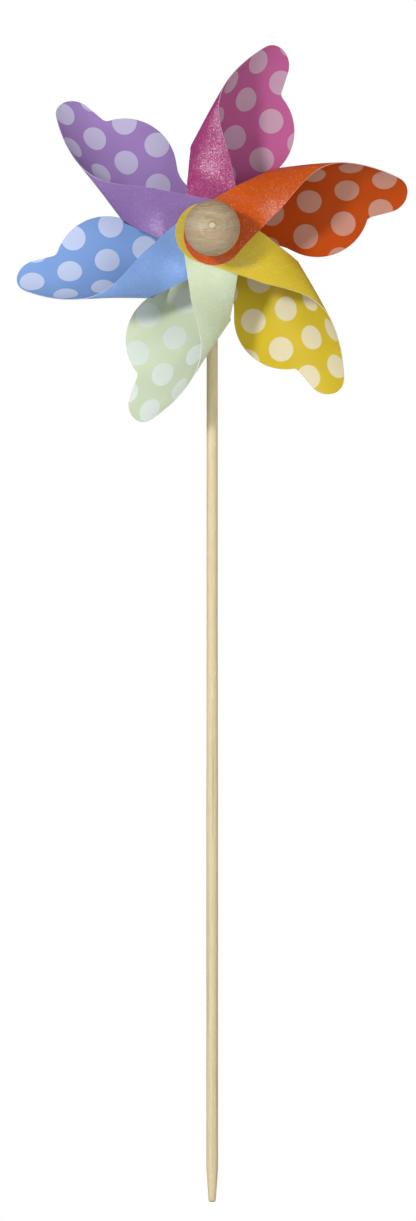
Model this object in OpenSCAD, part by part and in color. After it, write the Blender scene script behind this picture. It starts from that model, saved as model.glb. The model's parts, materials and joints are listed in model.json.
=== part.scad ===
// Six-blade pinwheel on a dowel. Z is up along the stick, the rotor faces -Y and turns about Y.
// Millimetres. The origin is the centre of the stick's lower end.

/* [Stick] */
// Diameter of the straight shank at the lower end of the dowel
shank_d = 6; // [5:0.1:10]
// Diameter of the dowel above the shank
stick_d = 5.7; // [4:0.1:10]
// Overall length of the dowel
stick_len = 500; // [300:5:700]
// Length of the pointed lower end
stick_point_len = 17; // [5:1:40]
// Length of the straight shank above the point
shank_len = 183; // [40:1:190]
// Length over which the shank thins to the rest of the dowel
shank_taper_len = 50; // [10:5:60]
// Diameter of the flat at the very tip
stick_tip_d = 3.6; // [2:0.2:6]
// Round-over at both ends of the dowel
stick_round = 0.8; // [0.2:0.1:1.5]

/* [Axle] */
// Diameter of the steel pin the rotor turns on
axle_d = 2.5; // [1.5:0.1:4]
// Height of the pin above the lower end of the stick
axle_h = 483; // [250:1:690]
// Diameter of the pin's flat head behind the stick
axle_head_d = 6.5; // [4:0.5:10]
// Thickness of the pin's head
axle_head_t = 1; // [0.5:0.1:2]
// Radial clearance of everything that turns on the pin
running_gap = 0.08; // [0.02:0.01:0.1]
// Radial clearance of the stick and the ball on the pin
fixed_gap = 0.02; // [0.01:0.01:0.05]

/* [Ball and spacers] */
// Diameter of the wooden ball in front of the rotor
ball_d = 28; // [18:1:40]
// Diameter of the flat where the ball's bore opens
ball_flat_d = 9; // [6:0.5:14]
// Depth of the ball's bore
ball_bore = 16; // [8:1:24]
// Diameter of the small turned nub on the front of the ball
nub_d = 4; // [2:0.5:6]
// Diameter of the two flat washers
washer_d = 9; // [6:0.5:14]
// Thickness of the flat washers
washer_t = 0.8; // [0.4:0.1:2]
// Diameter of the wooden spacer bead behind the rotor
bead_d = 10; // [7:0.5:16]
// Length of the spacer bead
bead_len = 8; // [4:0.5:20]

/* [Hub] */
// Distance from the rear ends of the blades to their front ends
hub_gap = 28; // [20:1:36]
// Diameter of the spool's barrel
barrel_d = 11; // [9:0.5:16]
// Diameter of the spool's two spigots
spigot_d = 6; // [5:0.5:8]
// Diameter of the two hub caps
cap_d = 16; // [12:0.5:20]
// Thickness of the hub caps
cap_t = 1.2; // [0.8:0.1:2]
// Radial clearance of the blades on the spigots
blade_gap = 0.1; // [0.05:0.01:0.2]

/* [Blades] */
// Thickness of the plastic sheet
sheet_t = 0.4; // [0.3:0.05:0.6]
// Step from one blade to the next in the stack
sheet_step = 0.5; // [0.4:0.05:0.8]
// Directions the six curls point in, counter-clockwise as seen from the front
blade_turn = [60.3, 129, 183, 238, 298.5, 363];
// Distance from the axle to the outer line of the curl
curl_reach = 31; // [26:0.5:34]
// Radius of the curl close to the hub
curl_r_hub = 12.5; // [10:0.5:13]
// Radius of the curl towards the tip
curl_r_tip = 31.5; // [24:0.5:36]
// Height the front of the curl rises above the hub
curl_rise = 11.5; // [4:0.5:20]

/* [Hidden] */
loose = 0.3;

stick_r = stick_d / 2;
shank_r = shank_d / 2;
shank_top = stick_point_len + shank_len;
bead_w = stick_r + loose;
rear_washer_w = bead_w + bead_len + loose;
rear_cap_w = rear_washer_w + washer_t + loose;
blades_w = rear_cap_w + cap_t + 0.1;
stack_t = 5 * sheet_step + sheet_t;
barrel_w = blades_w + stack_t + 0.1;
barrel_len = hub_gap - stack_t - sheet_t - 0.2;
front_cap_w = blades_w + hub_gap + 5 * sheet_step + 0.1;
hub_end_w = front_cap_w + cap_t;
front_washer_w = hub_end_w + loose;
ball_w = front_washer_w + washer_t + loose;
ball_centre_w = ball_w + sqrt(pow(ball_d / 2, 2) - pow(ball_flat_d / 2, 2));

wood = [0.86, 0.79, 0.64];
ball_wood = [0.70, 0.62, 0.49];
steel = [0.72, 0.72, 0.73];
white_plastic = [0.90, 0.90, 0.88];
blade_colours = [
    [0.68, 0.28, 0.50],
    [0.55, 0.43, 0.67],
    [0.48, 0.62, 0.84],
    [0.79, 0.84, 0.71],
    [0.80, 0.71, 0.20],
    [0.74, 0.31, 0.11]
];

// ---- frames -----------------------------------------------------------------------------------------------

// Children stand on the axle, w forward of the stick's axis, with their own Z pointing forward.
module on_axle(w) {
    translate([0, -w, axle_h])
        rotate([90, 0, 0])
            children();
}

module ring(outer_d, inner_r, length) {
    difference() {
        cylinder(d = outer_d, h = length, $fn = 64);
        translate([0, 0, -1])
            cylinder(r = inner_r, h = length + 2, $fn = 48);
    }
}

// ---- flat pattern of a blade --------------------------------------------------------------------------------
// u runs outward along the curl, v across it: v = 0 at the rear hole, growing round the curl to the front hole.

rear_end_r = 10;
front_end = [0.7, 80.9];
front_end_r = 15.2;
neck_turn = atan(0.19);
free_turn = atan(0.92);
lead_turn = atan(0.565);
heel_turn = atan(0.315);

function polar(c, r, a) = [c[0] + r * cos(a), c[1] + r * sin(a)];

function arc(c, r, a0, a1, n) = [for (i = [0:n]) polar(c, r, a0 + (a1 - a0) * i / n)];

function turn(a) = a > 180 ? a - 360 : a < -180 ? a + 360 : a;

// The arc that rounds the corner p between its neighbours a and b.
function corner(a, p, b, r) =
    let (da = (a - p) / norm(a - p), db = (b - p) / norm(b - p))
    let (half = acos(da * db) / 2, bisector = (da + db) / norm(da + db))
    let (c = p + bisector * r / sin(half), reach = r / tan(half))
    let (s = p + da * reach - c, e = p + db * reach - c)
    let (a0 = atan2(s[1], s[0]), sweep = turn(atan2(e[1], e[0]) - a0))
    arc(c, r, a0, a0 + sweep, max(2, ceil(abs(sweep) / 9)));

// A chain of [u, v, radius] corners between two plain end points.
function rounded(chain) = [
    chain[0],
    for (i = [1:len(chain) - 2])
        each corner(xy(chain[i - 1]), xy(chain[i]), xy(chain[i + 1]), chain[i][2]),
    chain[len(chain) - 1]
];

function xy(p) = [p[0], p[1]];

rear_round_low = arc([0, 0], rear_end_r, 180, 270 + neck_turn, 12);
rear_round_top = arc([0, 0], rear_end_r, 180, 90 + heel_turn, 8);
front_round_top = arc(front_end, front_end_r, 180, 90 - free_turn, 14);
front_round_low = arc(front_end, front_end_r, 180, 270 - lead_turn, 6);

neck = [33.3, -5.6, 15];
lobe = [69.6, -25.8, 26];
notch = [78.2, 5.4, 3];
tip = [113.4, 12.7, 11];
shoulder = [27.3, 73.8, 60];
free_mid = [60, 53.9, 80];
heel = [16, 15.5, 10];
heel_top = [30, 32.5, 6];
crotch = [33.6, 44.2, 3.5];

outer_edge = rounded([last(rear_round_low), neck, lobe, notch, tip, free_mid, shoulder,
                      last(front_round_top)]);
inner_edge = rounded([last(rear_round_top), heel, heel_top, crotch, last(front_round_low)]);

function last(list) = list[len(list) - 1];

tip_u = max([for (p = outer_edge) p[0]]);
crotch_u = max([for (p = inner_edge) p[0]]);
tip_i = [for (i = [0:len(outer_edge) - 1]) if (outer_edge[i][0] == tip_u) i][0];
crotch_i = [for (i = [0:len(inner_edge) - 1]) if (inner_edge[i][0] == crotch_u) i][0];

low_edge = concat(rear_round_low, [for (i = [1:tip_i]) outer_edge[i]]);
high_edge = concat(front_round_top, [for (i = [len(outer_edge) - 2:-1:tip_i]) outer_edge[i]]);
heel_edge = concat(rear_round_top, [for (i = [1:crotch_i]) inner_edge[i]]);
lead_edge = concat(front_round_low, [for (i = [len(inner_edge) - 2:-1:crotch_i]) inner_edge[i]]);

// ---- the curl -----------------------------------------------------------------------------------------------

function smooth(x) = let (t = min(1, max(0, x))) t * t * (3 - 2 * t);

// Share by which the curl has opened out at u: none where neighbouring blades lie on each other.
function opened(u) = smooth((u - 20) / 38);

function rear_r(u) = curl_r_hub + (curl_r_tip - curl_r_hub) * opened(u);
function front_a(u) = 14 + 8 * smooth((u - 12) / 16);
function front_b(u) = hub_gap + curl_rise * opened(u) - rear_r(u);

// Flat point [u, v] as a point of the curled sheet, e in from its outer face. The front of the curl stands
// extra further forward than the hub gap.
function curled(u, v, e, extra) =
    let (r = rear_r(u), a = front_a(u), b = front_b(u))
    let (rear_v = curl_reach - r, side_v = rear_v + r * PI / 2, front_len = (a + b) * PI / 4)
    let (rear_t = (v - rear_v) / r * 180 / PI, front_t = (v - side_v) / front_len * 90)
    v <= rear_v ? [u, v, e]
    : v <= side_v ? [u, rear_v + (r - e) * sin(rear_t), r - (r - e) * cos(rear_t)]
    : front_t <= 90 ? [u, curl_reach - a + (a - e) * cos(front_t), r + (b + extra - e) * sin(front_t)]
    : [u, curl_reach - a - (v - side_v - front_len), r + b + extra - e];

// Columns run across the blade at fixed u; rear_rows of steps lie below the crotch and front_rows above it.
rear_rows = 6;
front_rows = 8;
rows = rear_rows + front_rows;

crotch_v = lookup(crotch_u, heel_edge);
crotch_share = (crotch_v - lookup(crotch_u, low_edge))
    / (lookup(crotch_u, high_edge) - lookup(crotch_u, low_edge));

function share(j) =
    j <= rear_rows
        ? crotch_share * j / rear_rows
        : crotch_share + (1 - crotch_share) * (j - rear_rows) / front_rows;

neck_u = concat(
    [for (a = [7, 20, 34, 50, 70, 90]) -rear_end_r * cos(a)],
    [5, 11, 17, 22, 26, 29, 31.5]
);
tab_u = concat(
    [for (a = [7, 18, 30, 44, 60, 76]) front_end[0] - front_end_r * cos(a)],
    [2, 6, 10, 14, 19, 24, 28, 31]
);
main_u = concat(
    [crotch_u, 36, 40, 44, 48, 52, 56, 60, 64, 68, 72, 75, 76.5, 77.6, 78.4, 79.6, 82, 86],
    [for (a = [70, 56, 42, 30, 18, 7]) tip_u - 11 * (1 - cos(a))]
);

function column(u, low, high, n) = [for (j = [0:n]) [u, low + (high - low) * j / n]];

neck_pts = [for (u = neck_u) each column(u, lookup(u, low_edge), lookup(u, heel_edge), rear_rows)];
tab_pts = [for (u = tab_u) each column(u, lookup(u, lead_edge), lookup(u, high_edge), front_rows)];
main_pts = [
    for (u = main_u)
        let (low = lookup(u, low_edge), high = lookup(u, high_edge))
            for (j = [0:rows]) [u, low + (high - low) * share(j)]
];
flat_pts = concat(neck_pts, tab_pts, main_pts);

tab_start = len(neck_pts);
main_start = tab_start + len(tab_pts);

function neck_at(i, j) = i < len(neck_u) ? i * (rear_rows + 1) + j : main_start + j;
function tab_at(i, j) =
    i < len(tab_u) ? tab_start + i * (front_rows + 1) + j : main_start + rear_rows + j;
function main_at(i, j) = main_start + i * (rows + 1) + j;

// Each quad as [near low, far low, far high, near high].
quads = [
    for (i = [0:len(neck_u) - 1], j = [0:rear_rows - 1])
        [neck_at(i, j), neck_at(i + 1, j), neck_at(i + 1, j + 1), neck_at(i, j + 1)],
    for (i = [0:len(tab_u) - 1], j = [0:front_rows - 1])
        [tab_at(i, j), tab_at(i + 1, j), tab_at(i + 1, j + 1), tab_at(i, j + 1)],
    for (i = [0:len(main_u) - 2], j = [0:rows - 1])
        [main_at(i, j), main_at(i + 1, j), main_at(i + 1, j + 1), main_at(i, j + 1)]
];

// The sheet's rim, once round, with u growing along the low edge.
rim = [
    for (i = [0:len(neck_u) - 1]) neck_at(i, 0),
    for (i = [0:len(main_u) - 1]) main_at(i, 0),
    for (j = [1:rows]) main_at(len(main_u) - 1, j),
    for (i = [len(main_u) - 2:-1:0]) main_at(i, rows),
    for (i = [len(tab_u) - 1:-1:0]) tab_at(i, front_rows),
    for (j = [front_rows - 1:-1:0]) tab_at(0, j),
    for (i = [1:len(tab_u)]) tab_at(i, 0),
    for (i = [len(neck_u) - 1:-1:0]) neck_at(i, rear_rows),
    for (j = [rear_rows - 1:-1:1]) neck_at(0, j)
];

inner_start = len(flat_pts);

sheet_faces = [
    for (q = quads) each [[q[0], q[1], q[2]], [q[0], q[2], q[3]]],
    for (q = quads) each [
        [q[2], q[1], q[0]] + inner_start * [1, 1, 1],
        [q[3], q[2], q[0]] + inner_start * [1, 1, 1]
    ],
    for (i = [0:len(rim) - 1])
        let (a = rim[i], b = rim[(i + 1) % len(rim)])
            each [[b, a, a + inner_start], [b, a + inner_start, b + inner_start]]
];

// Blade 0 is the last of the stack's front and the first of its rear, so each neighbour passes behind the
// next one's curl: its rear end is at rear_level and its front end level steps forward of the hub gap.
module blade(level) {
    rear_level = 5 - level;
    extra = (level - rear_level) * sheet_step;
    sheet_points = [for (e = [0, sheet_t], p = flat_pts) curled(p[0], p[1], e, extra)];
    color(blade_colours[level])
        on_axle(blades_w + rear_level * sheet_step)
            rotate([0, 0, blade_turn[level]])
                difference() {
                    polyhedron(points = sheet_points, faces = sheet_faces, convexity = 8);
                    translate([0, 0, -2])
                        cylinder(r = spigot_d / 2 + blade_gap, h = hub_gap + extra + 4, $fn = 64);
                }
}

// ---- stick and axle -----------------------------------------------------------------------------------------

module stick() {
    color(wood)
        difference() {
            rotate_extrude($fn = 64)
                polygon(concat(
                    [[0, 0]],
                    [for (a = [-90:22.5:-10])
                        [stick_tip_d / 2 - stick_round * (1 - cos(a)), stick_round * (1 + sin(a))]],
                    [[shank_r, stick_point_len], [shank_r, shank_top], [stick_r, shank_top + shank_taper_len]],
                    [for (a = [0:22.5:90])
                        [stick_r - stick_round * (1 - cos(a)), stick_len - stick_round * (1 - sin(a))]],
                    [[0, stick_len]]
                ));
            on_axle(-stick_r - 1)
                cylinder(r = axle_d / 2 + fixed_gap, h = stick_d + 2, $fn = 48);
        }
}

module axle() {
    head_w = -stick_r - 0.05 - axle_head_t;
    color(steel) {
        on_axle(head_w)
            cylinder(d = axle_d, h = ball_w + ball_bore - 0.5 - head_w, $fn = 48);
        on_axle(head_w)
            cylinder(d = axle_head_d, h = axle_head_t, $fn = 48);
    }
}

// ---- ball, washers and bead ---------------------------------------------------------------------------------

module front_ball() {
    color(ball_wood)
        difference() {
            union() {
                on_axle(ball_centre_w)
                    sphere(d = ball_d, $fn = 96);
                on_axle(ball_centre_w + ball_d / 2 - 1)
                    cylinder(d = nub_d, h = 1.4, $fn = 48);
            }
            on_axle(ball_w - 5)
                cylinder(d = ball_d, h = 5, $fn = 64);
            on_axle(ball_w - 1)
                cylinder(r = axle_d / 2 + fixed_gap, h = ball_bore + 1, $fn = 48);
        }
}

module front_washer() {
    color(steel)
        on_axle(front_washer_w)
            ring(washer_d, axle_d / 2 + running_gap, washer_t);
}

module rear_washer() {
    color(steel)
        on_axle(rear_washer_w)
            ring(washer_d, axle_d / 2 + running_gap, washer_t);
}

module spacer_bead() {
    edge = 1.6;
    inner = axle_d / 2 + running_gap;
    color(wood)
        on_axle(bead_w)
            rotate_extrude($fn = 64)
                polygon(concat(
                    [[inner, 0]],
                    [for (a = [-90:15:0]) [bead_d / 2 - edge * (1 - cos(a)), edge * (1 + sin(a))]],
                    [for (a = [0:15:90]) [bead_d / 2 - edge * (1 - cos(a)), bead_len - edge * (1 - sin(a))]],
                    [[inner, bead_len]]
                ));
}

// ---- hub ----------------------------------------------------------------------------------------------------

module hub_spool() {
    color(white_plastic)
        difference() {
            union() {
                on_axle(rear_cap_w)
                    cylinder(d = spigot_d, h = hub_end_w - rear_cap_w, $fn = 64);
                on_axle(barrel_w)
                    cylinder(d = barrel_d, h = barrel_len, $fn = 64);
            }
            on_axle(rear_cap_w - 1)
                cylinder(r = axle_d / 2 + running_gap, h = hub_end_w - rear_cap_w + 2, $fn = 48);
        }
}

module hub_front_cap() {
    color(white_plastic)
        on_axle(front_cap_w)
            ring(cap_d, spigot_d / 2 + fixed_gap, cap_t);
}

module hub_rear_cap() {
    color(white_plastic)
        on_axle(rear_cap_w)
            ring(cap_d, spigot_d / 2 + fixed_gap, cap_t);
}

// ---- assembly -----------------------------------------------------------------------------------------------

stick();
axle();
front_ball();
front_washer();
rear_washer();
spacer_bead();
hub_spool();
hub_front_cap();
hub_rear_cap();
blade(0);  // blade_magenta
blade(1);  // blade_purple
blade(2);  // blade_blue
blade(3);  // blade_mint
blade(4);  // blade_yellow
blade(5);  // blade_orange
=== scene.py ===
"""The pinwheel's looks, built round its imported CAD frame. Blender works in metres, the shapes here in
millimetres."""

import json
import math
from typing import NamedTuple

import bmesh
import bpy
import numpy as np
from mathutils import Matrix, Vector, noise
from mathutils.geometry import delaunay_2d_cdt


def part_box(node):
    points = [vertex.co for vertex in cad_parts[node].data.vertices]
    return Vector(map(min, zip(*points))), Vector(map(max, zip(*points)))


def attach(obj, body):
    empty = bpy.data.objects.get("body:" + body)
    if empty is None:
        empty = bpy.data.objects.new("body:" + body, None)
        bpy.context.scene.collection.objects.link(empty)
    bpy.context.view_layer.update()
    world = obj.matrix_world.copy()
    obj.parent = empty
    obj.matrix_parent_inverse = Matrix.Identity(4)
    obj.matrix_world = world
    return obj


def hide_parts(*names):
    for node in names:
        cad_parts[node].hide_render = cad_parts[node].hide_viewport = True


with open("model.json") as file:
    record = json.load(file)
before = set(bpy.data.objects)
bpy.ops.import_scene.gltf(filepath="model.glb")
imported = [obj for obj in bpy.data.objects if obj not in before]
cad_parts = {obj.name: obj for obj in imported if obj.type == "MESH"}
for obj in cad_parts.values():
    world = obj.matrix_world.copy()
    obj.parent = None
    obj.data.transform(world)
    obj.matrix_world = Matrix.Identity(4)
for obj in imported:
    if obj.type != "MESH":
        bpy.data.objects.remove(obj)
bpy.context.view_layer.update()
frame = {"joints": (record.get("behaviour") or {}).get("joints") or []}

MM = 0.001
AXLE_Z = next(j["pos_m"][2] for j in frame["joints"] if j["name"] == "rotor_spin") / MM


def to_linear(channel):
    """A 0-255 screen value as linear light."""
    if channel > 10:
        return ((channel / 255 + 0.055) / 1.055) ** 2.4
    return channel / 255 / 12.92


def srgb(red, green, blue):
    """A colour given as 0-255 screen values, as the linear RGBA that the shaders take."""
    return (to_linear(red), to_linear(green), to_linear(blue), 1.0)


WHITE = (1.0, 1.0, 1.0, 1.0)


# ---- studio --------------------------------------------------------------------------------------

# The picture's height and middle, how far up the camera tilts and how far back it stands.
VIEW_HEIGHT = 0.61
VIEW_X = -0.0021
VIEW_Z = 0.2968
VIEW_RISE = math.radians(5.6)
CAMERA_BACK = 2.0
AIM = Vector((VIEW_X, 0, VIEW_Z))

# Lights: the direction each comes from, its distance, width and power.
KEY_FROM = Vector((-0.52, -0.82, 0.27))
KEY_DISTANCE = 3.0
KEY_SIZE = 0.42
KEY_POWER = 52.0
GLINT_FROM = Vector((-0.60, -0.80, -0.04))
GLINT_DISTANCE = 3.0
GLINT_SIZE = 1.0
GLINT_POWER = 95.0
SIDE_FROM = Vector((0.60, -0.78, 0.06))
SIDE_DISTANCE = 2.6
SIDE_SIZE = 1.1
SIDE_POWER = 18.0
BACK_FROM = Vector((0.45, 0.85, 0.35))
BACK_DISTANCE = 3.0
BACK_SIZE = 1.4
BACK_POWER = 24.0
# The world's strength on matt colour and in reflections.
FILL = 0.36
MIRRORED_FILL = 0.12
FLOOR_HALF = 4.0
FLOOR_GREY = 0.86


def add_camera():
    """A camera without perspective that looks slightly up at the rotor."""
    data = bpy.data.cameras.new("camera")
    data.type = "ORTHO"
    data.ortho_scale = VIEW_HEIGHT
    camera = bpy.data.objects.new("camera", data)
    ahead = Vector((0, math.cos(VIEW_RISE), math.sin(VIEW_RISE)))
    camera.location = AIM - ahead * CAMERA_BACK
    camera.rotation_euler = (math.radians(90) + VIEW_RISE, 0, 0)
    bpy.context.scene.collection.objects.link(camera)
    bpy.context.scene.camera = camera


def add_light(name, source, distance, size, power, glints):
    """A round soft light from the direction source, which only lights matt colour or only makes glints."""
    data = bpy.data.lights.new(name, "AREA")
    data.shape = "DISK"
    data.size = size
    data.energy = power
    light = bpy.data.objects.new(name, data)
    light.location = AIM + source.normalized() * distance
    light.rotation_euler = source.to_track_quat("Z", "Y").to_euler()
    light.visible_camera = False
    light.visible_diffuse = not glints
    light.visible_glossy = glints
    bpy.context.scene.collection.objects.link(light)


def add_world():
    """White behind the object, dimmer as light that fills the shadows, and dimmer still in reflections."""
    world = bpy.data.worlds.new("studio")
    world.use_nodes = True
    nodes, links = world.node_tree.nodes, world.node_tree.links
    nodes.clear()
    fill = nodes.new("ShaderNodeBackground")
    fill.inputs["Color"].default_value = WHITE
    seen = nodes.new("ShaderNodeBackground")
    seen.inputs["Color"].default_value = WHITE
    seen.inputs["Strength"].default_value = 1.0
    path = nodes.new("ShaderNodeLightPath")
    strength = nodes.new("ShaderNodeMapRange")
    strength.inputs["To Min"].default_value = FILL
    strength.inputs["To Max"].default_value = MIRRORED_FILL
    links.new(path.outputs["Is Glossy Ray"], strength.inputs["Value"])
    links.new(strength.outputs[0], fill.inputs["Strength"])
    mix = nodes.new("ShaderNodeMixShader")
    out = nodes.new("ShaderNodeOutputWorld")
    links.new(path.outputs["Is Camera Ray"], mix.inputs["Fac"])
    links.new(fill.outputs[0], mix.inputs[1])
    links.new(seen.outputs[0], mix.inputs[2])
    links.new(mix.outputs[0], out.inputs["Surface"])
    bpy.context.scene.world = world


# ---- shader nodes --------------------------------------------------------------------------------

class Shader:
    """A material with one Principled shader, and short names for the nodes that feed it."""

    def __init__(self, name, **sockets):
        self.material = bpy.data.materials.new(name)
        self.material.use_nodes = True
        self.tree = self.material.node_tree
        self.shader = self.tree.nodes["Principled BSDF"]
        for socket, value in sockets.items():
            self.set(socket.replace("_", " "), value)

    def set(self, socket, value):
        """Feeds one of the shader's own sockets."""
        self.feed(self.shader.inputs[socket], value)

    def feed(self, socket, value):
        """Sets a socket to a number or colour, or links a node's output to it."""
        if isinstance(value, bpy.types.NodeSocket):
            self.tree.links.new(value, socket)
        else:
            socket.default_value = value

    def node(self, kind, inputs, **settings):
        """A new node, with its inputs fed and its settings made."""
        made = self.tree.nodes.new("ShaderNode" + kind)
        for name, value in settings.items():
            setattr(made, name, value)
        for key, value in inputs.items():
            self.feed(made.inputs[key], value)
        return made

    def math(self, operation, a, b=0.0):
        return self.node("Math", {0: a, 1: b}, operation=operation).outputs[0]

    def vector(self, operation, a, b):
        made = self.node("VectorMath", {0: a, 1: b}, operation=operation)
        scalar = operation in ("LENGTH", "DOT_PRODUCT", "DISTANCE")
        return made.outputs["Value" if scalar else "Vector"]

    def scaled(self, vector, factor):
        return self.node("VectorMath", {0: vector, "Scale": factor}, operation="SCALE").outputs["Vector"]

    def combine(self, x, y, z):
        return self.node("CombineXYZ", {0: x, 1: y, 2: z}).outputs[0]

    def split(self, vector):
        return self.node("SeparateXYZ", {0: vector}).outputs

    def place(self):
        """The point on the surface, in millimetres, in the object's own frame."""
        return self.scaled(self.node("TexCoord", {}).outputs["Object"], 1 / MM)

    def noise(self, vector, scale, detail=2.0, roughness=0.5):
        """Smooth noise of about 0.3 to 0.7, with scale waves to the millimetre."""
        inputs = {"Vector": vector, "Scale": scale, "Detail": detail, "Roughness": roughness}
        return self.node("TexNoise", inputs).outputs["Fac"]

    def cells(self, vector, scale):
        return self.node("TexVoronoi", {"Vector": vector, "Scale": scale})

    def spread(self, value, low, high, out_low=0.0, out_high=1.0):
        """value moved smoothly from low-high to out_low-out_high, and held at the ends."""
        inputs = {"Value": value, "From Min": low, "From Max": high, "To Min": out_low, "To Max": out_high}
        return self.node("MapRange", inputs, interpolation_type="SMOOTHSTEP").outputs[0]

    def mix(self, factor, a, b, blend="MIX"):
        made = self.node("Mix", {}, data_type="RGBA", blend_type=blend)
        self.feed(made.inputs["Factor"], factor)
        self.feed(made.inputs[6], a)
        self.feed(made.inputs[7], b)
        return made.outputs[2]

    def bump(self, height, depth, normal=None):
        """Relief: height 0-1 stands for depth millimetres."""
        inputs = {"Height": height, "Strength": 1.0, "Distance": depth * MM}
        if normal is not None:
            inputs["Normal"] = normal
        return self.node("Bump", inputs).outputs["Normal"]


# ---- materials -----------------------------------------------------------------------------------

def shade(colour, factor):
    """The colour made lighter or darker by factor."""
    return (*(min(1.0, c * factor) for c in colour[:3]), 1.0)


def blend(a, b, share):
    """A colour between a and b, share of the way to b."""
    return (*(x + (y - x) * share for x, y in zip(a[:3], b[:3])), 1.0)


# The dots' radius and blur, and the two steps of their grid.
DOT_R = 6.2
DOT_BLUR = 0.12
DOT_ALONG = Vector((19.05, 5.5))
DOT_ACROSS = Vector((2.65, 18.0))
CELL_AREA = DOT_ALONG.cross(DOT_ACROSS)
FLECKS_PER_MM = 2.2
FLECK_TILT = 0.32

WOOD_LIGHT = srgb(224, 208, 170)
WOOD_SHADE = srgb(205, 188, 148)
WOOD_STREAK = srgb(172, 149, 110)
WOOD_WARM = srgb(208, 190, 149)
WOOD_PORE = srgb(146, 120, 82)
BALL_BROWN = srgb(176, 152, 122)
BALL_GREY = srgb(182, 166, 140)
BALL_DARK = srgb(146, 122, 88)
BALL_PALE = srgb(200, 184, 146)
BALL_NUB = srgb(200, 187, 150)
# Rings that the tool has left on the ball: distance from the axle, half width, strength and colour.
BALL_RINGS = ((2.2, 0.5, 0.26, BALL_DARK), (3.9, 0.35, 0.14, BALL_DARK), (6.3, 0.6, 0.20, BALL_PALE))
# Where the slow growth noise draws a dark line across the ball, and how strong that line is.
BALL_LINES = ((0.40, 0.50), (0.47, 0.75), (0.56, 0.60))
STEEL_BRIGHT = srgb(205, 205, 208)
STEEL_DULL = srgb(176, 176, 180)
PLASTIC_LIGHT = srgb(238, 237, 232)
PLASTIC_SHADE = srgb(228, 227, 220)


def dot_mask(s, start):
    """1 inside the printed dots, which stand on a skewed grid that starts at the flat point start."""
    flat = s.node("Attribute", {}, attribute_name="flat").outputs["Vector"]
    from_start = s.vector("SUBTRACT", flat, (start[0], start[1], 0))
    along = (DOT_ACROSS.y / CELL_AREA, -DOT_ACROSS.x / CELL_AREA, 0)
    across = (-DOT_ALONG.y / CELL_AREA, DOT_ALONG.x / CELL_AREA, 0)
    i = s.math("ROUND", s.vector("DOT_PRODUCT", from_start, along))
    j = s.math("ROUND", s.vector("DOT_PRODUCT", from_start, across))
    centre = s.vector("ADD", s.scaled((*DOT_ALONG, 0), i), s.scaled((*DOT_ACROSS, 0), j))
    distance = s.vector("DISTANCE", from_start, centre)
    return s.spread(distance, DOT_R - DOT_BLUR, DOT_R + DOT_BLUR, 1.0, 0.0)


def dotted_face(name, colour, dot_colour, start):
    """The printed inner face: satin, with pale dots of thin ink."""
    s = Shader(name, IOR=1.46, Specular_IOR_Level=0.09)
    place = s.place()
    cloud = s.noise(place, 0.035, 2.0)
    grain = s.noise(place, 2.2, 3.0, 0.6)
    ground = s.mix(s.spread(cloud, 0.3, 0.7), shade(colour, 0.94), shade(colour, 1.06))
    ink = s.mix(s.spread(grain, 0.3, 0.7), shade(dot_colour, 0.97), shade(dot_colour, 1.03))
    mask = dot_mask(s, start)
    s.set("Base Color", s.mix(mask, ground, ink))
    s.set("Roughness", s.spread(grain, 0.25, 0.75, 0.40, 0.50))
    relief = s.bump(grain, 0.012)
    s.set("Normal", s.bump(mask, 0.02, relief))
    return s.material


def plain_face(name, colour, gloss):
    """The frosted outer face: every fine fleck is tilted its own way, so it sparkles near a highlight; a few
    flecks are also painted pale as painted glints.
    """
    s = Shader(name, IOR=1.5, Specular_IOR_Level=gloss)
    place = s.place()
    cloud = s.noise(place, 0.05, 2.0)
    flecks = s.cells(place, FLECKS_PER_MM).outputs["Color"]
    fine = s.noise(place, 2.6, 2.0, 0.6)
    ground = s.mix(s.spread(cloud, 0.3, 0.7), shade(colour, 0.95), shade(colour, 1.05))
    # Painted glints: a few sparse flecks are painted pale into the base colour, on top of the real glints
    # from the tilted normals.
    painted_glints = s.spread(s.split(flecks)[0], 0.93, 0.99, 0.0, 0.22)
    s.set("Base Color", s.mix(painted_glints, ground, blend(colour, WHITE, 0.55)))
    s.set("Roughness", s.spread(fine, 0.3, 0.7, 0.31, 0.43))
    tilt = s.scaled(s.vector("SUBTRACT", flecks, (0.5, 0.5, 0.5)), FLECK_TILT)
    facing = s.node("NewGeometry", {}).outputs["Normal"]
    facet = s.node("VectorMath", {0: s.vector("ADD", facing, tilt)}, operation="NORMALIZE")
    s.set("Normal", s.bump(fine, 0.03, facet.outputs["Vector"]))
    return s.material


def cut_edge(name, colour):
    """The rim of the sheet, where the die has left the plastic paler."""
    s = Shader(name, Roughness=0.5)
    streaks = s.noise(s.place(), 1.5, 2.0)
    pale = blend(colour, WHITE, 0.25)
    s.set("Base Color", s.mix(streaks, shade(pale, 0.92), shade(pale, 1.04)))
    s.set("Normal", s.bump(streaks, 0.02))
    return s.material


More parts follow.
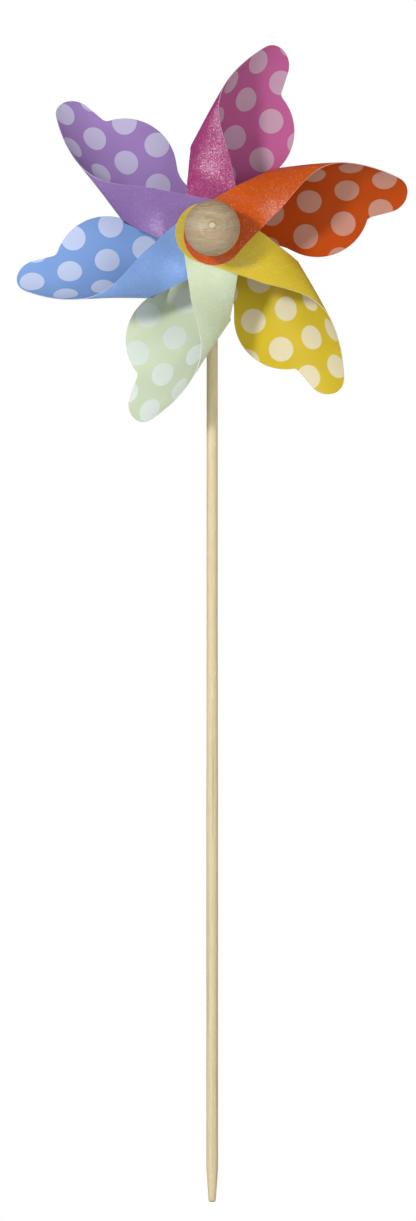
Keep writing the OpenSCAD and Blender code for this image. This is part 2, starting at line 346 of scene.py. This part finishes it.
def stick_wood():
    """Pale dowel: fibres run up the stick, with broader tan streaks and short dark pores among them."""
    s = Shader("dowel_wood", IOR=1.45)
    place = s.place()
    fibres = s.noise(s.vector("MULTIPLY", place, (1.0, 1.0, 0.025)), 4.2, 4.0, 0.62)
    streaks = s.noise(s.vector("MULTIPLY", place, (1.0, 1.0, 0.012)), 0.62, 2.0, 0.5)
    pores = s.cells(s.vector("MULTIPLY", place, (1.0, 1.0, 0.16)), 2.6).outputs["Distance"]
    clouds = s.noise(place, 0.03, 2.0)
    ground = s.mix(s.spread(fibres, 0.32, 0.68), WOOD_SHADE, WOOD_LIGHT)
    ground = s.mix(s.spread(streaks, 0.52, 0.74, 0.0, 0.60), ground, WOOD_STREAK)
    ground = s.mix(s.spread(clouds, 0.35, 0.65, 0.0, 0.35), ground, WOOD_WARM)
    s.set("Base Color", s.mix(s.spread(pores, 0.02, 0.13, 0.40, 0.0), ground, WOOD_PORE))
    s.set("Roughness", s.spread(fibres, 0.3, 0.7, 0.72, 0.56))
    s.set("Normal", s.bump(fibres, 0.10))
    return s.material


def from_axle(s, place):
    """Distance of the surface point from the axle's centre line, in millimetres."""
    across = s.vector("MULTIPLY", s.vector("SUBTRACT", place, (0, 0, AXLE_Z)), (1, 0, 1))
    return s.vector("LENGTH", across, (0, 0, 0))


def ball_wood():
    """Turned tan wood: level growth lines that bow across the ball, short dark pores along them, faint
    rings left by the lathe and a pale nub with a ragged edge."""
    s = Shader("turned_wood", IOR=1.45)
    place = s.place()
    warp = s.noise(place, 0.09, 2.0)
    x, y, z = s.split(place)
    bow = s.math("MULTIPLY", s.math("POWER", s.math("ABSOLUTE", x), 2.0), -0.012)
    level = s.math("ADD", s.math("ADD", z, bow), s.math("MULTIPLY", warp, 5.0))
    slow_x, slow_y = s.math("MULTIPLY", x, 0.05), s.math("MULTIPLY", y, 0.05)
    growth = s.noise(s.combine(slow_x, slow_y, level), 0.42, 2.0, 0.5)
    fibres = s.noise(s.vector("MULTIPLY", place, (0.10, 0.5, 1.0)), 2.3, 3.0, 0.6)
    radius = from_axle(s, place)
    rings = s.noise(s.combine(radius, 0.0, 0.0), 1.1, 2.0, 0.6)
    ground = s.mix(s.spread(growth, 0.36, 0.60), BALL_BROWN, BALL_GREY)
    ground = s.mix(s.spread(fibres, 0.35, 0.65, 0.45, 0.0), ground, BALL_DARK)
    ground = s.mix(s.spread(rings, 0.55, 0.72, 0.0, 0.25), ground, BALL_PALE)
    for height, share in BALL_LINES:
        off = s.math("ABSOLUTE", s.math("SUBTRACT", growth, height))
        ground = s.mix(s.spread(off, 0.0, 0.016, share, 0.0), ground, BALL_DARK)
    for ring_r, width, share, colour in BALL_RINGS:
        off = s.math("ABSOLUTE", s.math("SUBTRACT", radius, ring_r))
        ground = s.mix(s.spread(off, 0.0, width, share, 0.0), ground, colour)
    pores = s.cells(s.vector("MULTIPLY", place, (0.28, 1.0, 1.0)), 1.5).outputs["Distance"]
    ground = s.mix(s.spread(pores, 0.06, 0.20, 0.45, 0.0), ground, BALL_DARK)
    ragged = s.math("ADD", radius, s.math("MULTIPLY", s.noise(place, 0.9, 1.0), 2.4))
    s.set("Base Color", s.mix(s.spread(ragged, 2.1, 2.9, 0.9, 0.0), ground, BALL_NUB))
    s.set("Roughness", s.spread(fibres, 0.3, 0.7, 0.66, 0.52))
    s.set("Normal", s.bump(fibres, 0.05, s.bump(rings, 0.06)))
    return s.material


def bead_wood():
    """The stick's wood turned across the grain, so its fibres run along the axle."""
    s = Shader("bead_wood", IOR=1.45)
    place = s.place()
    fibres = s.noise(s.vector("MULTIPLY", place, (1.0, 0.06, 1.0)), 2.4, 4.0, 0.6)
    rings = s.noise(s.combine(from_axle(s, place), 0.0, 0.0), 1.6, 2.0)
    ground = s.mix(s.spread(fibres, 0.32, 0.68), WOOD_SHADE, WOOD_LIGHT)
    s.set("Base Color", s.mix(s.spread(rings, 0.5, 0.7, 0.0, 0.35), ground, WOOD_STREAK))
    s.set("Roughness", s.spread(fibres, 0.3, 0.7, 0.66, 0.50))
    s.set("Normal", s.bump(fibres, 0.06))
    return s.material


def drawn_steel():
    """Bright wire and stampings: fine lines round the axle and a few duller patches."""
    s = Shader("bright_steel", Metallic=1.0)
    place = s.place()
    lines = s.noise(s.combine(from_axle(s, place), s.split(place)[1], 0.0), 9.0, 2.0, 0.6)
    dull = s.noise(place, 0.8, 3.0)
    s.set("Base Color", s.mix(s.spread(dull, 0.4, 0.7), STEEL_BRIGHT, STEEL_DULL))
    s.set("Roughness", s.spread(dull, 0.3, 0.7, 0.24, 0.40))
    s.set("Normal", s.bump(lines, 0.008))
    return s.material


def moulded_plastic():
    """Milky white moulding with a satin skin."""
    s = Shader("moulded_plastic", IOR=1.49)
    place = s.place()
    cloud = s.noise(place, 0.12, 3.0)
    skin = s.noise(place, 3.4, 2.0, 0.5)
    s.set("Base Color", s.mix(s.spread(cloud, 0.3, 0.7), PLASTIC_SHADE, PLASTIC_LIGHT))
    s.set("Roughness", s.spread(skin, 0.3, 0.7, 0.34, 0.46))
    s.set("Normal", s.bump(skin, 0.012))
    return s.material


def floor_paper():
    """Pale matt paper that is see-through from underneath."""
    s = Shader("floor_paper", Roughness=0.9)
    s.set("Base Color", (FLOOR_GREY, FLOOR_GREY, FLOOR_GREY, 1.0))
    under = s.node("NewGeometry", {}).outputs["Backfacing"]
    clear = s.node("BsdfTransparent", {}).outputs[0]
    both = s.node("MixShader", {0: under, 1: s.shader.outputs[0], 2: clear}).outputs[0]
    s.tree.links.new(both, s.tree.nodes["Material Output"].inputs["Surface"])
    return s.material


# ---- mesh helpers --------------------------------------------------------------------------------

def add_piece(name, points, faces, materials, body, node):
    """A smooth mesh object in the row frame that stands for a CAD node. points are in millimetres."""
    mesh = bpy.data.meshes.new(name)
    mesh.from_pydata([tuple(p) for p in np.asarray(points) * MM], [], faces)
    for material in materials:
        mesh.materials.append(material)
    mesh.shade_smooth()
    piece = bpy.data.objects.new(name, mesh)
    bpy.context.scene.collection.objects.link(piece)
    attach(piece, body)
    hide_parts(node)
    return piece


def soften(piece, width, material):
    """Rounds the sharp edges of a piece by width millimetres, in one of its materials."""
    bevel = piece.modifiers.new("soft_edges", "BEVEL")
    bevel.width = width * MM
    bevel.segments = 2
    bevel.limit_method = "ANGLE"
    bevel.angle_limit = math.radians(50)
    bevel.harden_normals = True
    bevel.material = material


# Spacing of a mesh's points inside, round a bend and along a straight rim.
STEP = 1.4
RIM_STEP = 1.3 * STEP
# Outline points this close together are doubled, a radius this small is on the axis, and the
# triangulation takes points this close together as one.
DOUBLED = 0.01
ON_AXIS = 1e-6
MERGED = 1e-4


def arc(centre, radius, start, stop):
    """Points round centre from start to stop degrees, no more than STEP apart."""
    sweep = math.radians(stop - start)
    count = max(2, math.ceil(abs(sweep) * radius / STEP))
    angles = [math.radians(start) + sweep * i / count for i in range(count + 1)]
    return [Vector((centre[0] + radius * math.cos(a), centre[1] + radius * math.sin(a))) for a in angles]


def rounded(chain):
    """A chain of (x, y, radius) corners between two plain end points, each corner rounded by its radius."""
    points = [Vector(chain[0][:2])]
    for before, here, after in zip(chain, chain[1:], chain[2:]):
        corner, radius = Vector(here[:2]), here[2]
        back = (Vector(before[:2]) - corner).normalized()
        ahead = (Vector(after[:2]) - corner).normalized()
        half = back.angle(ahead) / 2
        centre = corner + (back + ahead).normalized() * radius / math.sin(half)
        first = corner + back * radius / math.tan(half) - centre
        final = corner + ahead * radius / math.tan(half) - centre
        start = math.degrees(math.atan2(first.y, first.x))
        sweep = (math.degrees(math.atan2(final.y, final.x)) - start + 180) % 360 - 180
        points += arc(centre, radius, start, start + sweep)
    points.append(Vector(chain[-1][:2]))
    return points


def filled_in(loop):
    """A closed loop with its long straight stretches cut into short ones, and no doubled points."""
    points = []
    for here, after in zip(loop, loop[1:] + loop[:1]):
        length = (after - here).length
        if length < DOUBLED:
            continue
        count = math.ceil(length / RIM_STEP)
        points += [here.lerp(after, i / count) for i in range(count)]
    return points


def revolved(profile, segments):
    """A (radius, height) profile turned about the Z axis: from axis to axis, or a loop clear of it."""
    angles = np.arange(segments) * 2 * math.pi / segments
    points, rings = [], []
    for radius, height in profile:
        first = len(points)
        if radius < ON_AXIS:
            points.append((0, 0, height))
            rings.append([first] * segments)
        else:
            points += [(radius * math.cos(a), radius * math.sin(a), height) for a in angles]
            rings.append([first + i for i in range(segments)])
    pairs = list(zip(rings, rings[1:]))
    if profile[0][0] > 0:
        pairs.append((rings[-1], rings[0]))
    faces = []
    for low, high in pairs:
        for i in range(segments):
            j = (i + 1) % segments
            # A face that ends on the axis names that point once.
            faces.append(list(dict.fromkeys((low[i], low[j], high[j], high[i]))))
    return np.array(points), faces


def on_axle(points):
    """Points about the Z axis laid along the axle, with their Z pointing forward from the stick."""
    return np.column_stack([points[:, 0], -points[:, 2], AXLE_Z + points[:, 1]])


def turned_size(node):
    """Radius of a CAD node that is round about the axle, and where it starts and ends along the axle,
    forward of the stick's middle."""
    low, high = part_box(node)
    return (high.x - low.x) / 2 / MM, -high.y / MM, -low.y / MM


# ---- a blade's flat pattern ----------------------------------------------------------------------
# u runs outward along the curl and v across it, from the rear hole round the curl to the front hole.

REAR_END_R = 10
FRONT_END = (0.7, 80.9)
FRONT_END_R = 15.2
# How far round its hub circle each straight side of the blade touches, from the slope of that side.
NECK_TURN = math.degrees(math.atan(0.19))
FREE_TURN = math.degrees(math.atan(0.92))
LEAD_TURN = math.degrees(math.atan(0.565))
HEEL_TURN = math.degrees(math.atan(0.315))

# Corners of the outline as (u, v, rounding radius).
NECK = (33.3, -5.6, 15)
LOBE = (69.6, -25.8, 26)
NOTCH = (78.2, 5.4, 3)
TIP = (113.4, 12.7, 11)
FREE_MID = (60, 53.9, 80)
SHOULDER = (27.3, 73.8, 60)
HEEL = (16, 15.5, 10)
HEEL_TOP = (30, 32.5, 6)
CROTCH = (33.6, 44.2, 3.5)

# How far the curl reaches across, its rear radius at the hub and the tip, and how much deeper it gets.
CURL_REACH = 31
CURL_R_HUB = 12.5
CURL_R_TIP = 31.5
CURL_RISE = 11.5
# The stretch of u over which it opens.
OPENS_FROM = 20
OPENS_OVER = 38
# Half-axis of the front bend across the blade: at the hub, and how it grows along u.
FRONT_A_HUB = 14
FRONT_A_GROWTH = 8
FRONT_A_FROM = 12
FRONT_A_OVER = 16
# The gap between a blade's two ends at the hub, the sheet's thickness, and the spacing of stacked sheets.
HUB_GAP = 28
SHEET_T = 0.4
SHEET_STEP = 0.5
HOLE_R = 3.1
HOLE_SIDES = 36
# Grid points keep this share of STEP away from the rims.
GRID_GAP = 0.62


def smooth(x):
    """0 up to x = 0, 1 from x = 1 and an S curve between."""
    t = np.clip(x, 0, 1)
    return t * t * (3 - 2 * t)


def curl_sizes(u):
    """The rear radius and the two front half-axes of the curl at u."""
    opened = smooth((u - OPENS_FROM) / OPENS_OVER)
    rear = CURL_R_HUB + (CURL_R_TIP - CURL_R_HUB) * opened
    front_a = FRONT_A_HUB + FRONT_A_GROWTH * smooth((u - FRONT_A_FROM) / FRONT_A_OVER)
    front_b = HUB_GAP + CURL_RISE * opened - rear
    return rear, front_a, front_b


def curled(flat, depth, extra):
    """Flat points as points of the curled sheet, depth in from its outer face: x outward, y across,
    z forward. The front of the curl stands extra further forward than the hub gap."""
    u, v = flat[:, 0], flat[:, 1]
    rear, front_a, front_b = curl_sizes(u)
    rear_v = CURL_REACH - rear
    side_v = rear_v + rear * math.pi / 2
    front_len = (front_a + front_b) * math.pi / 4
    rear_t = np.clip((v - rear_v) / rear, 0, math.pi / 2)
    front_t = np.clip((v - side_v) / front_len, 0, 1) * math.pi / 2
    past = np.maximum(v - side_v - front_len, 0)
    out = np.minimum(v, rear_v) + (rear - depth) * np.sin(rear_t)
    y = out - (front_a - depth) * (1 - np.cos(front_t)) - past
    z = depth + (rear - depth) * (1 - np.cos(rear_t)) + (front_b + extra - depth) * np.sin(front_t)
    return np.column_stack([u, y, z])


def front_hole_v():
    """How far along the flat pattern the front hole is, so that it comes to lie over the rear one."""
    rear, front_a, front_b = curl_sizes(0)
    bend = rear * math.pi / 2 + (front_a + front_b) * math.pi / 4
    return CURL_REACH - rear + bend + CURL_REACH - front_a


def blade_outline(trim):
    """The flat pattern's outline, the round of its front end moved by trim."""
    front_end = (FRONT_END[0] + trim[0], FRONT_END[1] + trim[1])
    rear_low = arc((0, 0), REAR_END_R, 180, 270 + NECK_TURN)
    rear_top = arc((0, 0), REAR_END_R, 90 + HEEL_TURN, 180)
    front_top = arc(front_end, FRONT_END_R, 90 - FREE_TURN, 180)
    front_low = arc(front_end, FRONT_END_R, 180, 270 - LEAD_TURN)
    outer = rounded([rear_low[-1], NECK, LOBE, NOTCH, TIP, FREE_MID, SHOULDER, front_top[0]])
    inner = rounded([front_low[-1], CROTCH, HEEL_TOP, HEEL, rear_top[0]])
    return filled_in(rear_low + outer + front_top + front_low + inner + rear_top)


def inside(points, loop):
    """For each point, whether the closed loop goes round it."""
    x, y = points[:, 0:1], points[:, 1:2]
    x0, y0 = loop[:, 0], loop[:, 1]
    x1, y1 = np.roll(x0, -1), np.roll(y0, -1)
    crosses = (y0 > y) != (y1 > y)
    run = np.where(crosses, y1 - y0, 1)
    return (crosses & (x < x0 + (y - y0) * (x1 - x0) / run)).sum(1) % 2 == 1


def hole_rim(v):
    """The rim of a punched hole centred at (0, v)."""
    spokes = [2 * math.pi * i / HOLE_SIDES for i in range(HOLE_SIDES)]
    return np.array([(HOLE_R * math.cos(a), v + HOLE_R * math.sin(a)) for a in spokes])


def filled_triangles(rim, holes):
    """Points and triangles that fill the rim but not the two holes, on an even grid."""
    low, high = rim.min(0), rim.max(0)
    columns, rows = np.arange(low[0], high[0], STEP), np.arange(low[1], high[1], STEP)
    grid = np.stack(np.meshgrid(columns, rows), -1).reshape(-1, 2)
    grid = grid[inside(grid, rim)]
    edge_points = np.vstack([rim, *holes])
    gap = np.sqrt(((grid[:, None] - edge_points) ** 2).sum(2)).min(1)
    grid = grid[gap > GRID_GAP * STEP]
    grid = grid[~(inside(grid, holes[0]) | inside(grid, holes[1]))]

    edges, first = [], 0
    for loop in (rim, *holes):
        count = len(loop)
        edges += [(first + i, first + (i + 1) % count) for i in range(count)]
        first += count
    points = [Vector(p) for p in np.vstack([edge_points, grid])]
    points, _, faces, *_ = delaunay_2d_cdt(points, edges, [], 0, MERGED)
    points = np.array([tuple(p) for p in points])
    centres = np.array([points[list(f)].mean(0) for f in faces])
    kept = inside(centres, rim) & ~inside(centres, holes[0]) & ~inside(centres, holes[1])
    return points, np.array(faces)[kept]


def flat_mesh(trim):
    """The blade's flat pattern with both holes punched: points, faces and the edges of its rims."""
    rim = np.array([tuple(p) for p in blade_outline(trim)])
    points, faces = filled_triangles(rim, [hole_rim(0), hole_rim(front_hole_v())])
    bm = bmesh.new()
    corners = [bm.verts.new((*p, 0)) for p in points]
    for face in faces:
        bm.faces.new([corners[i] for i in face])
    loose = [v for v in bm.verts if not v.link_faces]
    bmesh.ops.delete(bm, geom=loose, context="VERTS")
    bmesh.ops.join_triangles(
        bm, faces=bm.faces, angle_face_threshold=math.pi, angle_shape_threshold=math.radians(50)
    )
    bmesh.ops.recalc_face_normals(bm, faces=bm.faces)
    if sum(f.normal.z for f in bm.faces) < 0:
        bmesh.ops.reverse_faces(bm, faces=bm.faces)
    bm.verts.index_update()
    points = np.array([v.co.xy for v in bm.verts])
    faces = [[v.index for v in f.verts] for f in bm.faces]
    rims = [(e.link_loops[0].vert.index, e.link_loops[0].link_loop_next.vert.index)
            for e in bm.edges if e.is_boundary]
    bm.free()
    return points, faces, rims


# ---- blades --------------------------------------------------------------------------------------

INNER, OUTER, RIM = range(3)
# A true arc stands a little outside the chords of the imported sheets, so these sheets are a little smaller.
SHEET_SCALE = 0.9995
SHEET_EDGE = 0.09


class Sheet(NamedTuple):
    """What sets one blade apart from the others."""

    turn: float  # direction of the curl, in degrees
    trim: tuple  # how far the round of its front end is moved on the flat pattern
    dots: tuple  # flat point at which its grid of dots starts
    face: tuple  # colour of the printed face
    ink: tuple  # colour of the dots
    plain: tuple  # colour of the plain face
    gloss: float  # specular level of the plain face


# In stacking order: the blade whose front end is hindmost comes first.
BLADES = {
    "magenta": Sheet(
        60.3, (0, -1.0), (45.7, -2.4),
        srgb(176, 88, 138), srgb(184, 147, 168), srgb(152, 47, 107), 0.60,
    ),
    "purple": Sheet(
        129, (0, -2.0), (53.1, -7.4),
        srgb(149, 120, 177), srgb(180, 172, 202), srgb(136, 105, 164), 0.30,
    ),
    "blue": Sheet(
        183, (0, -3.2), (50.4, -8.3),
        srgb(126, 161, 216), srgb(189, 201, 229), srgb(121, 156, 212), 0.40,
    ),
    "mint": Sheet(
        238, (0, -2.6), (50.5, -6.3),
        srgb(196, 208, 178), srgb(208, 218, 208), srgb(199, 212, 180), 0.60,
    ),
    "yellow": Sheet(
        298.5, (-1.5, 0.6), (47.1, -2.2),
        srgb(200, 175, 44), srgb(213, 203, 168), srgb(202, 177, 44), 0.50,
    ),
    "orange": Sheet(
        363, (0, -0.5), (46.7, -2.3),
        srgb(176, 69, 14), srgb(184, 133, 116), srgb(191, 78, 4), 0.42,
    ),
}


def add_blade(colour_name, level):
    """One curled sheet. level is its place in BLADES: its front end lies further forward the higher the
    level is, and its rear end further back."""
    sheet = BLADES[colour_name]
    flat, faces, rims = flat_mesh(sheet.trim)
    node = "blade_" + colour_name
    count = len(flat)
    extra = (2 * level - (len(BLADES) - 1)) * SHEET_STEP
    local = np.vstack([curled(flat, 0, extra), curled(flat, SHEET_T, extra)])
    ahead = SHEET_SCALE * math.cos(math.radians(sheet.turn))
    aside = SHEET_SCALE * math.sin(math.radians(sheet.turn))
    rear_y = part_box(node)[1].y / MM
    points = np.column_stack([
        local[:, 0] * ahead - local[:, 1] * aside,
        rear_y - local[:, 2],
        AXLE_Z + local[:, 0] * aside + local[:, 1] * ahead,
    ])
    outer_faces = [face[::-1] for face in faces]
    inner_faces = [[i + count for i in face] for face in faces]
    rim_faces = [[b + count, a + count, a, b] for a, b in rims]
    materials = [
        dotted_face(colour_name + "_dotted", sheet.face, sheet.ink, sheet.dots),
        plain_face(colour_name + "_plain", sheet.plain, sheet.gloss),
        cut_edge(colour_name + "_edge", sheet.plain),
    ]
    all_faces = inner_faces + outer_faces + rim_faces
    piece = add_piece(
        "sheet_" + colour_name, points, all_faces, materials, "rotor", node
    )
    kinds = [INNER] * len(faces) + [OUTER] * len(faces) + [RIM] * len(rims)
    piece.data.polygons.foreach_set("material_index", kinds)
    attribute = piece.data.attributes.new("flat", "FLOAT_VECTOR", "POINT")
    values = np.zeros((2 * count, 3), np.float32)
    values[:, :2] = np.vstack([flat, flat])
    attribute.data.foreach_set("vector", values.ravel())
    soften(piece, SHEET_EDGE, RIM)


# ---- turned parts --------------------------------------------------------------------------------

# The pin, the bores that sit fast on it and the bores that run on it.
AXLE_R = 1.25
FIXED_R = 1.27
RUNNING_R = 1.33
HEAD_T = 1.0

# The hub's barrel and spigots, and the broken edges of the rings.
SPIGOT_R = 3.0
CAP_BORE_R = 3.02
BARREL_R = 5.5
BARREL_LEN = 24.5
WASHER_EDGE = 0.18
CAP_EDGE = 0.35

BALL_FLAT_R = 4.5
BORE = 16
NUB_R = 2.0
# Turned grooves on the ball as (depth, pitch, phase).
GROOVES = ((0.022, 1.35, 0), (0.03, 4.1, 0.8))

# Sides of a full turn of the pin, of rings and barrels, and of the ball.
PIN_SIDES = 64
RING_SIDES = 96
BALL_SIDES = 128

# The stick: its radii and heights from the tip up, and how it is rounded, planed and drilled.
TIP_R = 1.8
SHANK_R = 3.0
STICK_R = 2.85
POINT_LEN = 17
SHANK_TOP = 200
THIN_FROM = 250
STICK_ROUND = 0.8
POINT_ROUND = 6
THIN_ROUND = 60
STICK_STEP = 3.0
STICK_SIDES = 48
STICK_WAVER = 0.03
WAVER_SCALE = (0.35, 0.35, 0.025)
DRILL_HALF = 10


def add_ring(name, node, inner_r, edge, material, body):
    """A flat ring with its edges broken, as washers and caps are."""
    outer_r, start, end = turned_size(node)
    middle = (inner_r, (start + end) / 2)
    corners = [(inner_r, start, edge), (outer_r, start, edge), (outer_r, end, edge), (inner_r, end, edge)]
    points, faces = revolved(rounded([middle, *corners, middle])[:-1], RING_SIDES)
    add_piece(name, on_axle(points), faces, [material], body, node)


def add_axle(material):
    """A wire pin with a flattened, round-edged head behind the stick."""
    head_r, start, end = turned_size("axle")
    profile = rounded([
        (0, start), (head_r, start, 0.42), (head_r, start + HEAD_T, 0.2), (AXLE_R, start + HEAD_T, 0.1),
        (AXLE_R, end, 0.35), (0, end),
    ])
    points, faces = revolved(profile, PIN_SIDES)
    add_piece("axle_pin", on_axle(points), faces, [material], "frame", "axle")


def add_spool(material):
    """The barrel that holds the blades' two ends apart, with a spigot at each end for them."""
    _, start, end = turned_size("hub_spool")
    barrel_start = -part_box("blade_magenta")[1].y / MM + SHEET_T + 0.1
    barrel_end = barrel_start + BARREL_LEN
    middle = (RUNNING_R, (start + end) / 2)
    points, faces = revolved(rounded([
        middle, (RUNNING_R, start, 0.15), (SPIGOT_R, start, 0.25), (SPIGOT_R, barrel_start, 0.05),
        (BARREL_R, barrel_start, 0.45), (BARREL_R, barrel_end, 0.45), (SPIGOT_R, barrel_end, 0.05),
        (SPIGOT_R, end, 0.25), (RUNNING_R, end, 0.15), middle,
    ])[:-1], RING_SIDES)
    add_piece("spool", on_axle(points), faces, [material], "rotor", "hub_spool")


def add_bead(material):
    """A short wooden barrel with well rounded ends."""
    outer_r, start, end = turned_size("spacer_bead")
    middle = (RUNNING_R, (start + end) / 2)
    points, faces = revolved(rounded([
        middle, (RUNNING_R, start, 0.4), (outer_r, start, 1.6),
        (outer_r, end, 1.6), (RUNNING_R, end, 0.4), middle,
    ])[:-1], RING_SIDES)
    add_piece("wooden_bead", on_axle(points), faces, [material], "bead", "spacer_bead")


def lathe_marks(run):
    """Depth of the turned grooves, run millimetres along the ball's surface from its equator."""
    return sum(
        depth * (1 + math.sin(2 * math.pi * run / pitch + phase)) for depth, pitch, phase in GROOVES
    )


def add_ball(material):
    """A turned ball: flat where it meets the washer, bored for the pin, with a small nub in front."""
    ball_r, start, end = turned_size("front_ball")
    centre = start + math.sqrt(ball_r ** 2 - BALL_FLAT_R ** 2)
    flat_angle = math.degrees(math.asin((centre - start) / ball_r))
    nub_angle = math.degrees(math.acos(NUB_R / ball_r))
    # One ring of points to each degree.
    count = round(nub_angle + flat_angle)
    bore_end = start + BORE
    bore_top, bore_mouth = (FIXED_R, bore_end, 0.1), (FIXED_R, start, 0.3)
    profile = rounded([(0, bore_end), bore_top, bore_mouth, (BALL_FLAT_R, start)])
    for i in range(1, count + 1):
        angle = math.radians(-flat_angle + (nub_angle + flat_angle) * i / count)
        radius = ball_r - lathe_marks(ball_r * angle)
        profile.append(Vector((radius * math.cos(angle), centre + radius * math.sin(angle))))
    foot = profile.pop()
    profile += rounded([foot, (NUB_R, end, 0.35), (0, end)])
    points, faces = revolved(profile, BALL_SIDES)
    add_piece("wooden_ball", on_axle(points), faces, [material], "frame", "front_ball")


def stick_profile():
    """The dowel's (radius, height) outline: rounded tip, point, shank, slight thinning and rounded top."""
    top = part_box("stick")[1].z / MM
    outline = rounded([
        (0, 0), (TIP_R, 0, STICK_ROUND), (SHANK_R, POINT_LEN, POINT_ROUND),
        (SHANK_R, SHANK_TOP, THIN_ROUND), (STICK_R, THIN_FROM, THIN_ROUND),
        (STICK_R, top, STICK_ROUND), (0, top),
    ])
    profile = [outline[0]]
    for here, after in zip(outline, outline[1:]):
        count = max(1, math.ceil((after - here).length / STICK_STEP))
        profile += [here.lerp(after, i / count) for i in range(1, count + 1)]
    return profile


def add_stick(material):
    """The dowel, very slightly uneven as split wood is, with the pin's hole through its top."""
    points, faces = revolved(stick_profile(), STICK_SIDES)
    for i, (x, y, z) in enumerate(points):
        waver = noise.noise(Vector(c * scale for c, scale in zip((x, y, z), WAVER_SCALE)))
        planed = 1 - STICK_WAVER * (0.5 + 0.5 * waver)
        points[i] = (x * planed, y * planed, z)
    piece = add_piece("dowel", points, faces, [material], "frame", "stick")
    half = DRILL_HALF
    drill_profile = [(0, -half), (FIXED_R, -half), (FIXED_R, half), (0, half)]
    drill_points, drill_faces = revolved(drill_profile, STICK_SIDES)
    mesh = bpy.data.meshes.new("drill")
    mesh.from_pydata([tuple(p) for p in on_axle(drill_points) * MM], [], drill_faces)
    drill = bpy.data.objects.new("drill", mesh)
    bpy.context.scene.collection.objects.link(drill)
    hole = piece.modifiers.new("pin_hole", "BOOLEAN")
    hole.operation = "DIFFERENCE"
    hole.object = drill
    bpy.context.view_layer.update()
    drilled = bpy.data.meshes.new_from_object(piece.evaluated_get(bpy.context.evaluated_depsgraph_get()))
    piece.modifiers.clear()
    piece.data = drilled
    bpy.data.objects.remove(drill)


def add_floor():
    """The ground, which is stage only."""
    mesh = bpy.data.meshes.new("floor")
    h = FLOOR_HALF
    mesh.from_pydata([(-h, -h, 0), (h, -h, 0), (h, h, 0), (-h, h, 0)], [], [(0, 1, 2, 3)])
    mesh.materials.append(floor_paper())
    floor = bpy.data.objects.new("floor", mesh)
    bpy.context.scene.collection.objects.link(floor)


# ---- the whole -----------------------------------------------------------------------------------

add_camera()
add_light("key", KEY_FROM, KEY_DISTANCE, KEY_SIZE, KEY_POWER, glints=False)
add_light("glint", GLINT_FROM, GLINT_DISTANCE, GLINT_SIZE, GLINT_POWER, glints=True)
add_light("side", SIDE_FROM, SIDE_DISTANCE, SIDE_SIZE, SIDE_POWER, glints=False)
add_light("back", BACK_FROM, BACK_DISTANCE, BACK_SIZE, BACK_POWER, glints=False)
add_world()
add_floor()

steel = drawn_steel()
plastic = moulded_plastic()
add_stick(stick_wood())
add_axle(steel)
add_ball(ball_wood())
add_bead(bead_wood())
add_ring("washer_front", "front_washer", RUNNING_R, WASHER_EDGE, steel, "washer_front")
add_ring("washer_rear", "rear_washer", RUNNING_R, WASHER_EDGE, steel, "washer_rear")
add_spool(plastic)
add_ring("cap_front", "hub_front_cap", CAP_BORE_R, CAP_EDGE, plastic, "rotor")
add_ring("cap_rear", "hub_rear_cap", CAP_BORE_R, CAP_EDGE, plastic, "rotor")

for blade_level, blade_name in enumerate(BLADES):
    add_blade(blade_name, blade_level)

bpy.context.scene.view_settings.view_transform = "Standard"
